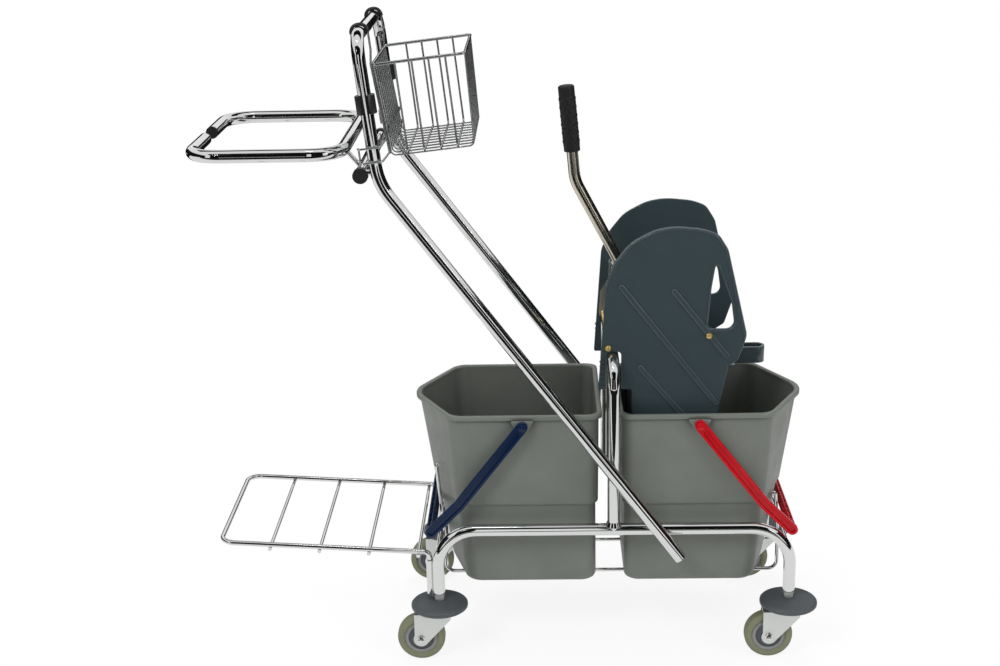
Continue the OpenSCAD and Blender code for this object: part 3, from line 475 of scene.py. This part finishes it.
def bail(name, side, material, slot, body):
    """One bail; its body and the CAD node that it stands for have the same name."""

    def sided(points):
        return [(side * p[0] - BUCKET_OFF, p[1]) for p in points]

    start = Vector((BAIL_X, BAIL_Z))
    kink = Vector(BAIL_KINK)
    channel_start = start + (kink - start).normalized() * CHANNEL_START
    outer = sided(path_outline([start, kink, BAIL_CORNER], BAIL_W, 6))
    channel = sided(path_outline([channel_start, kink, BAIL_CORNER], BAIL_W - 2 * CHANNEL_LIP, 3))
    objs = []
    for near in (-1, 1):
        web = BAIL_IN if near > 0 else -BAIL_IN - BAIL_T + CHANNEL
        lip = BAIL_IN + BAIL_T - CHANNEL - LIP_SINK if near > 0 else -BAIL_IN - BAIL_T
        objs.append(flat_piece([outer], web, BAIL_T - CHANNEL, 1.2))
        objs.append(flat_piece([outer, channel], lip, CHANNEL + LIP_SINK, 1.0))
    slope = math.atan2(BAIL_KINK[1] - BAIL_CORNER[1], BAIL_CORNER[0] - BAIL_KINK[0])

    def block(u, v, wide, high, y, deep, bevel):
        """A bar of the grip, u and v being its corner along and across the end of the arm."""
        corners = [(u, v), (u + wide, v), (u + wide, v + high), (u, v + high)]
        turned = [(BAIL_CORNER[0] + a * math.cos(slope) + b * math.sin(slope),
                   BAIL_CORNER[1] - a * math.sin(slope) + b * math.cos(slope), bevel)
                  for a, b in corners]
        objs.append(flat_piece([sided(rounded(turned, 4))], y, deep, bevel))

    span = 2 * (BAIL_IN + 1)
    block(-BAR_W / 2, -BAR_T / 2, BAR_W, BAR_WEB, -span / 2, span, 1.0)
    block(-BAR_W / 2, -BAR_T / 2, BAR_WALL, BAR_T, -span / 2, span, 1.0)
    block(BAR_W / 2 - BAR_WALL, -BAR_T / 2, BAR_WALL, BAR_T, -span / 2, span, 1.0)
    pitch = (span - 12) / BAR_RIBS
    for i in range(BAR_RIBS + 1):
        block(-BAR_W / 2 + 1.0, -BAR_T / 2 + 1.0, BAR_W - 2.0, BAR_T - 1.4,
              -span / 2 + 3 + i * pitch, 3.0, 0.8)
    for near in (-1, 1):
        at = placed(side * BAIL_X - BUCKET_OFF, near * (BAIL_IN + BAIL_T), BAIL_Z)
        objs.append(lathe(BAIL_CAP, at, (0, near, 0), 40))
    add(joined(name, objs), material, body, slot, body)


bail("bail_left_moulding", -1, BLUE, "blue_plastic", "bail_left")
bail("bail_right_moulding", 1, RED, "red_plastic", "bail_right")


# Wringer side plates: rounded plates with a raised lip, slanted ribs, a laddered hook and a foot;
# lighter beads along the top and rib edges are painted highlight

PLATE_OUT = 97.0
PLATE_T = 5.0
RIB_H = 2.5
RIB_W = 9
RIB_HIGHLIGHT_W = 6.6
PLATE_OUTLINE = [
    (-22, 430, 3), (-9.9, 430, 1.5), (-9.9, 490.4, 9.4), (13, 490.4, 6), (13, 430, 3),
    (29, 430, 3), (31, 250.2, 6), (146, 250.2, 18), (161, 390, 30), (176, 466, 5), (190, 475, 10),
    (203, 514, 25), (171.9, 648, 30), (156.9, 672, 22), (135, 680.4, 80), (92, 685, 110),
    (61.9, 680, 80), (26, 660.9, 60), (3, 632, 50), (-9.9, 602, 40)]
PLATE_WINDOW = [
    (154.5, 632, 3), (148, 590, 40), (142.7, 525.1, 9), (183.9, 525.1, 12), (178.4, 565, 40)]
PLATE_RIBS = [
    ((13, 592.9), (157.9, 406.9)), ((92, 585.1), (173, 483)), ((42, 465.1), (107, 389.1))]
LIP_LOW_Z = 496.0
HOOK_BARS = 6
HOOK_LOW_Z = 434
HOOK_PITCH = 8
FOOT = [(50, 250.2, 1.5), (130, 250.2, 1.5), (130, 258.2, 1.5), (50, 258.2, 1.5)]
FOOT_OUT = 111.0


def inset(points, d):
    """Points of a closed outline moved inwards by d."""
    out = []
    for i, p in enumerate(points):
        along = (points[(i + 1) % len(points)] - points[i - 1]).normalized()
        out.append(p + Vector((-along.y, along.x)) * d)
    return out


def wringer_plate(node, side):
    outline = rounded(PLATE_OUTLINE, 12)
    window = rounded(PLATE_WINDOW, 10)
    inner = PLATE_OUT - PLATE_T
    objs = [flat_piece([outline, window], inner if side > 0 else -PLATE_OUT, PLATE_T, 1.4)]
    lip = [p for p in inset(outline, 3.4) if p.y > LIP_LOW_Z]
    first = max(range(len(lip)), key=lambda i: (lip[i] - lip[i - 1]).length)
    face = side * (PLATE_OUT - 0.3)
    objs.append(bead(lip[first:] + lip[:first], face, 2.0))
    # Thin beads in the lighter slate along the top edge and the rib edges: painted highlight
    highlight_rim = [p for p in inset(outline, 1.2) if p.y > LIP_LOW_Z]
    painted_highlight_beads = [bead(highlight_rim[first:] + highlight_rim[:first], side * (PLATE_OUT - 0.5), 0.9)]
    objs.append(bead(inset(window, -2.6), face, 1.6, True))
    rib_y = PLATE_OUT - 1 if side > 0 else -PLATE_OUT - RIB_H
    for a, b in PLATE_RIBS:
        objs.append(flat_piece([strip_outline(a, b, RIB_W)], rib_y, RIB_H + 1, 1.5))
        highlight_y = side * (PLATE_OUT + RIB_H - 0.35)
        painted_highlight_beads.append(bead(strip_outline(a, b, RIB_HIGHLIGHT_W), highlight_y, 0.45, True))
    for i in range(HOOK_BARS):
        low = HOOK_LOW_Z + i * HOOK_PITCH
        bar = rounded([(-20, low, 1), (-12, low, 1), (-12, low + 3, 1), (-20, low + 3, 1)], 4)
        objs.append(flat_piece([bar], rib_y, RIB_H + 1, 0.8))
    foot_y = inner if side > 0 else -FOOT_OUT
    objs.append(flat_piece([rounded(FOOT, 4)], foot_y, FOOT_OUT - PLATE_OUT + PLATE_T, 1.0))
    add(joined(node + "_moulding", objs), SLATE, "base", "slate_plastic", node)
    add(joined(node + "_moulding_painted_highlights", painted_highlight_beads), SLATE_PAINTED_HIGHLIGHT, "base", "slate_plastic")


wringer_plate("wringer_plate_near", -1)
wringer_plate("wringer_plate_far", 1)


# Domes on the heads of the two shafts

SHAFT_HEADS = ((-7.0, 497.0), (145.0, 515.0))
HEAD_OUT = 100.05
DOME = [(-0.3, 4.1), (0.0, 4.1), (0.6, 3.8), (1.2, 3.0), (1.6, 1.8), (1.75, 0.05)]

domes = [lathe(DOME, placed(x, near * HEAD_OUT, z), (0, near, 0), 32)
         for x, z in SHAFT_HEADS for near in (-1, 1)]
add(joined("shaft_domes", domes), BRASS, "base", "brass")


# Lever grip: a rubber sleeve with rows of studs between a plain foot and a plain domed top

LEVER_BEND_X = -53.5
LEVER_BEND_Z = 736.0
LEVER_TOP_Z = 878.0
LEVER_LEAN = 0.089
GRIP_TOP = Vector((LEVER_BEND_X - (LEVER_TOP_Z - LEVER_BEND_Z) * LEVER_LEAN, 0.0, LEVER_TOP_Z))
GRIP_UP = (GRIP_TOP - Vector((LEVER_BEND_X, 0.0, LEVER_BEND_Z))).normalized()
GRIP_L = 101.0
GRIP_R = 12.4
GRIP_BORE = 8.85
GRIP_PAST_TUBE = 4.0
STUD_H = 0.9
STUD_ROWS = 6
STUD_PITCH = 13.0
STUDS_FROM = 9.0
STUDS_TO = 83.0


def lever_grip():
    profile = [(0.0, GRIP_BORE), (0.0, GRIP_R - 0.6), (0.5, GRIP_R)]
    profile += [(float(z), GRIP_R) for z in range(1, 98)]
    profile += [(98.6, GRIP_R - 0.2), (99.8, GRIP_R - 0.9), (100.6, GRIP_R - 2.4),
                (GRIP_L, GRIP_R - 5.0)]
    segments = 96
    foot = GRIP_TOP - GRIP_UP * (GRIP_L - GRIP_PAST_TUBE)
    start = Vector(placed(foot.x, 0.0, foot.z))
    obj = lathe(profile, start, GRIP_UP, segments)
    for row, (z, r) in enumerate(profile):
        if not STUDS_FROM < z < STUDS_TO:
            continue
        for k in range(segments):
            turn = math.tau * k / segments * STUD_ROWS
            lift = math.pi * (z - STUDS_FROM) / STUD_PITCH
            stud = abs(math.sin(turn + lift) * math.sin(turn - lift)) ** 1.5
            vert = obj.data.vertices[row * segments + k]
            axis = start + GRIP_UP * (z * MM)
            vert.co = axis + (vert.co - axis) * (1.0 + STUD_H * stud / r)
    obj.name = "lever_grip_sleeve"
    add(obj, GRIP, "lever", "black_rubber", "lever_grip")


lever_grip()


# Casters: turned treads, dark hub cups, bolts with hexagon nuts, bumper saucers and neck rings

STEM_X = 272.5
RAIL_Y = 140.0
TRAIL = 30.0
AXLE_Z = 37.5
CUP_Y = 9.0
BOLT_HALF = 15.6
WASHER_Y = 15.5
CORNERS = {"nl": (-1, -1), "nr": (1, -1), "fl": (-1, 1), "fr": (1, 1)}
TYRE_HALF = [(-11.0, 25.95), (-11.0, 30.5), (-10.7, 32.6), (-9.6, 35.2), (-7.5, 36.9), (-4.5, 37.5)]
TYRE = TYRE_HALF + [(-a, r) for a, r in reversed(TYRE_HALF)]
CUP = [(0.0, 6.0), (0.0, 20.6), (0.5, 20.2), (0.6, 17.4), (2.8, 16.9), (3.15, 16.2), (3.15, 6.0)]
BOLT = [(0, 4), (2 * BOLT_HALF, 4)]
WASHER = [(0, 6.5), (1.0, 6.5), (1.3, 6.1)]
NUT = [(1.2, 5.2), (5.0, 5.2), (5.6, 4.4)]
BOLT_END = [(5.0, 3.4), (7.6, 3.4), (8.2, 2.8)]
SAUCER = [
    (80.4, 5.6), (80.4, 18.0), (86.4, 18.0), (86.9, 20.0), (87.0, 39.0), (87.6, 42.5),
    (89.0, 44.2), (91.0, 44.5), (93.5, 44.3), (95.3, 42.8), (96.8, 39.0), (98.4, 30.0),
    (99.8, 18.0), (100.5, 9.5), (100.5, 5.6)]
NECK_Z = 100.7
NECK_STEP = 0.8
NECK_BORE = 6.0
NECK = [(NECK_Z + NECK_STEP * i, 8.3 if i % 3 == 1 else 7.3) for i in range(13)]
NECK = [(NECK_Z, NECK_BORE)] + NECK + [(110.3, NECK_BORE)]


def caster_details(tag, sx, sy):
    stem_x, y = sx * STEM_X, sy * RAIL_Y
    x = stem_x - TRAIL
    tyre = lathe(TYRE, placed(x, y, AXLE_Z), (0, 1, 0), 96, True)
    tyre.name = "tread_tyre_" + tag
    add(tyre, TREAD, "wheel_" + tag, "tread_rubber", "tread_" + tag)
    cups = [lathe(CUP, placed(x, y + s * CUP_Y, AXLE_Z), (0, s, 0), 64, True) for s in (-1, 1)]
    add(joined("hub_cup_" + tag, cups), BUMPER, "wheel_" + tag, "bumper_rubber")
    bolts = [lathe(BOLT, placed(x, y - BOLT_HALF, AXLE_Z), (0, 1, 0), 32)]
    for s in (-1, 1):
        at = placed(x, y + s * WASHER_Y, AXLE_Z)
        nut = lathe(NUT, at, (0, s, 0), 6)
        nut.data.polygons.foreach_set("use_smooth", [False] * len(nut.data.polygons))
        bolts += [lathe(WASHER, at, (0, s, 0), 48), nut, lathe(BOLT_END, at, (0, s, 0), 24)]
    add(joined("axle_bolt_" + tag, bolts), CHROME, "swivel_" + tag, "zinc", "axle_" + tag)
    saucer = lathe(SAUCER, placed(stem_x, y, 0.0), (0, 0, 1), 96, True)
    saucer.name = "bumper_saucer_" + tag
    add(saucer, BUMPER, "base", "bumper_rubber", "bumper_" + tag)
    neck = lathe(NECK, placed(stem_x, y, 0.0), (0, 0, 1), 48, True)
    neck.name = "neck_rings_" + tag
    add(neck, CHROME, "base", "zinc")


for tag, (sx, sy) in CORNERS.items():
    caster_details(tag, sx, sy)


# Soft edges on the plain pieces of the CAD

SOFT_EDGES = {
    0.6: ["press_plate"],
    0.7: ["fork_" + tag for tag in CORNERS],
    0.8: ["trough_back", "clip_near", "clip_far", "ring_plug_near", "ring_plug_far",
          "lever_shaft", "stay_shaft"],
    1.2: ["trough_lug", "bearer_cap_near", "bearer_cap_far"],
}


def soften(name, width):
    node = frame["nodes"][name]
    weld = node.modifiers.new("weld", "WELD")
    weld.merge_threshold = 1e-6
    edge = node.modifiers.new("soft_edges", "BEVEL")
    edge.width = width * MM
    edge.segments = 2
    edge.limit_method = "ANGLE"
    edge.angle_limit = math.radians(40)


for width, names in SOFT_EDGES.items():
    for name in names:
        soften(name, width)


# Stage: floor, cards, light and camera

FLOOR_HALF = 15
FLOOR_Z = -0.0005
# The floor shows its shade near the part and is plain white from FADE_END on
FADE_SCALE = (0.75, 1.3, 0.0)
FADE_START = 0.25
FADE_END = 0.62
WHITE_NEAR = 0.86
WORLD_LIGHT = 0.55


def stage_plane(name, corners, material):
    mesh = bpy.data.meshes.new(name)
    mesh.from_pydata(corners, [], [(0, 1, 2, 3)])
    obj = linked(name, mesh)
    obj.data.materials.append(material)
    return obj


def seen_directly(tree):
    """1 for camera, mirror and see-through rays, 0 for the light that lights the part."""
    path = tree.nodes.new("ShaderNodeLightPath")
    out = path.outputs["Is Camera Ray"]
    for name in ("Is Glossy Ray", "Is Transmission Ray"):
        node = tree.nodes.new("ShaderNodeMath")
        node.operation = "MAXIMUM"
        tree.links.new(out, node.inputs[0])
        tree.links.new(path.outputs[name], node.inputs[1])
        out = node.outputs[0]
    return out


def floor_material():
    """Pale floor that shows the part's shadow and turns to plain white away from it."""
    s = Shader("floor_pale")
    s.set(Roughness=0.9, Specular_IOR_Level=0.1)
    s.colours(s.noise(0.7, 2.0), (0.93, 0.93, 0.93), (0.95, 0.95, 0.95))
    nodes, links = s.tree.nodes, s.tree.links
    mapping = nodes.new("ShaderNodeMapping")
    mapping.inputs["Scale"].default_value = FADE_SCALE
    links.new(s.coords, mapping.inputs["Vector"])
    away = nodes.new("ShaderNodeVectorMath")
    away.operation = "LENGTH"
    links.new(mapping.outputs["Vector"], away.inputs[0])
    fade = nodes.new("ShaderNodeMapRange")
    fade.interpolation_type = "SMOOTHSTEP"
    fade.inputs["From Min"].default_value = FADE_START
    fade.inputs["From Max"].default_value = FADE_END
    fade.inputs["To Min"].default_value = WHITE_NEAR
    links.new(away.outputs["Value"], fade.inputs["Value"])
    share = nodes.new("ShaderNodeMath")
    share.operation = "MULTIPLY"
    links.new(fade.outputs["Result"], share.inputs[0])
    links.new(seen_directly(s.tree), share.inputs[1])
    white = nodes.new("ShaderNodeEmission")
    white.inputs["Strength"].default_value = 1.0
    mix = nodes.new("ShaderNodeMixShader")
    links.new(share.outputs[0], mix.inputs["Fac"])
    links.new(s.bsdf.outputs["BSDF"], mix.inputs[1])
    links.new(white.outputs["Emission"], mix.inputs[2])
    links.new(mix.outputs["Shader"], nodes["Material Output"].inputs["Surface"])
    return s.mat


def card_material():
    mat = bpy.data.materials.new("black_card")
    mat.use_nodes = True
    bsdf = mat.node_tree.nodes["Principled BSDF"]
    bsdf.inputs["Base Color"].default_value = (0.01, 0.01, 0.01, 1.0)
    bsdf.inputs["Roughness"].default_value = 1.0
    bsdf.inputs["Specular IOR Level"].default_value = 0.0
    return mat


stage_plane("floor", [(-FLOOR_HALF, -FLOOR_HALF, FLOOR_Z), (FLOOR_HALF, -FLOOR_HALF, FLOOR_Z),
                      (FLOOR_HALF, FLOOR_HALF, FLOOR_Z), (-FLOOR_HALF, FLOOR_HALF, FLOOR_Z)],
            floor_material())

# Black cards that only mirrors see, so that the chrome has dark lines as in a studio. The white
# between them shows in the chrome as bright lines.
CARD = card_material()
SIDE = 3.4
FRONT = -4.2
BACK = 4.2
CARD_LOW = 0.02
CARDS = {
    "front_left": [(-SIDE, FRONT, 0.25), (-0.42, FRONT, 0.25), (-0.42, FRONT, 3.0),
                   (-SIDE, FRONT, 3.0)],
    "front_right": [(0.30, FRONT, 0.25), (SIDE, FRONT, 0.25), (SIDE, FRONT, 3.0),
                    (0.30, FRONT, 3.0)],
    "floor": [(-SIDE, FRONT, CARD_LOW), (SIDE, FRONT, CARD_LOW), (SIDE, -0.9, CARD_LOW),
              (-SIDE, -0.9, CARD_LOW)],
    "floor_back": [(-SIDE, 1.2, CARD_LOW), (SIDE, 1.2, CARD_LOW), (SIDE, BACK, CARD_LOW),
                   (-SIDE, BACK, CARD_LOW)],
    "roof": [(-SIDE, FRONT, 3.0), (SIDE, FRONT, 3.0), (SIDE, -2.0, 4.2), (-SIDE, -2.0, 4.2)],
    "ceiling": [(-SIDE, 1.2, 4.6), (SIDE, 1.2, 4.6), (SIDE, BACK, 4.6), (-SIDE, BACK, 4.6)],
    "back": [(-SIDE, BACK, CARD_LOW), (SIDE, BACK, CARD_LOW), (SIDE, BACK, 1.5),
             (-SIDE, BACK, 1.5)],
    "right": [(SIDE, -2.6, 0.0), (SIDE, BACK, 0.3), (SIDE, BACK, 2.2), (SIDE, -2.6, 2.2)],
    "left": [(-SIDE, -2.6, 0.0), (-SIDE, BACK, 0.3), (-SIDE, BACK, 2.2), (-SIDE, -2.6, 2.2)],
}
for name, corners in CARDS.items():
    card = stage_plane("card_" + name, corners, CARD)
    card.visible_camera = False
    card.visible_diffuse = False
    card.visible_shadow = False


def light(name, spot, target, size, watts):
    lamp = bpy.data.lights.new(name, "AREA")
    lamp.shape = "RECTANGLE"
    lamp.size, lamp.size_y = size
    lamp.energy = watts
    obj = linked(name, lamp)
    obj.location = spot
    obj.rotation_euler = (Vector(target) - Vector(spot)).to_track_quat("-Z", "Y").to_euler()
    return obj


# Broad lamps light the part and don't show in mirrors; small ones give the highlights alone
KEY = ((-1.6, -2.6, 3.0), (0.0, 0.0, 0.4))
FILL = ((2.4, -2.2, 1.8), (0.1, 0.0, 0.4))
light("key", *KEY, (1.4, 1.4), 70).visible_glossy = False
light("fill", *FILL, (1.6, 2.0), 28).visible_glossy = False
light("top", (0.0, 0.6, 3.2), (0.0, 0.0, 0.3), (2.4, 1.6), 40).visible_glossy = False
light("key_gleam", *KEY, (0.4, 0.4), 45).visible_diffuse = False
light("fill_gleam", *FILL, (0.4, 0.4), 20).visible_diffuse = False
light("top_gleam", (-0.3, -0.6, 3.2), (0.1, 0.0, 0.6), (0.6, 0.05), 1.5).visible_diffuse = False

world = bpy.data.worlds.new("studio")
bpy.context.scene.world = world
world.use_nodes = True
nodes, links = world.node_tree.nodes, world.node_tree.links
background = nodes["Background"]
level = nodes.new("ShaderNodeMapRange")
level.inputs["To Min"].default_value = WORLD_LIGHT
level.inputs["To Max"].default_value = 1.0
links.new(seen_directly(world.node_tree), level.inputs["Value"])
background.inputs["Color"].default_value = (1.0, 1.0, 1.0, 1.0)
links.new(level.outputs["Result"], background.inputs["Strength"])

# Camera fitted to the photograph: place in metres, angles in degrees, lens in millimetres
CAMERA_PLACE = (0.04359, -2.39575, 1.2507)
CAMERA_PITCH = 17.56
CAMERA_YAW = -1.55
CAMERA_ROLL = -1.17
CAMERA_LENS = 57.37
CAMERA_SENSOR = 36.0

yaw, pitch, roll = (math.radians(a) for a in (CAMERA_YAW, CAMERA_PITCH, CAMERA_ROLL))
forward = Vector((math.sin(yaw) * math.cos(pitch), math.cos(yaw) * math.cos(pitch),
                  -math.sin(pitch)))
level_right = forward.cross(Vector((0, 0, 1))).normalized()
level_up = level_right.cross(forward)
right = level_right * math.cos(roll) + level_up * math.sin(roll)
up = level_up * math.cos(roll) - level_right * math.sin(roll)
camera_data = bpy.data.cameras.new("camera")
camera_data.lens = CAMERA_LENS
camera_data.sensor_width = CAMERA_SENSOR
camera = linked("camera", camera_data)
camera.matrix_world = Matrix((
    (right.x, up.x, -forward.x, CAMERA_PLACE[0]),
    (right.y, up.y, -forward.y, CAMERA_PLACE[1]),
    (right.z, up.z, -forward.z, CAMERA_PLACE[2]),
    (0.0, 0.0, 0.0, 1.0),
))
bpy.context.scene.camera = camera
bpy.context.scene.view_settings.view_transform = "Standard"
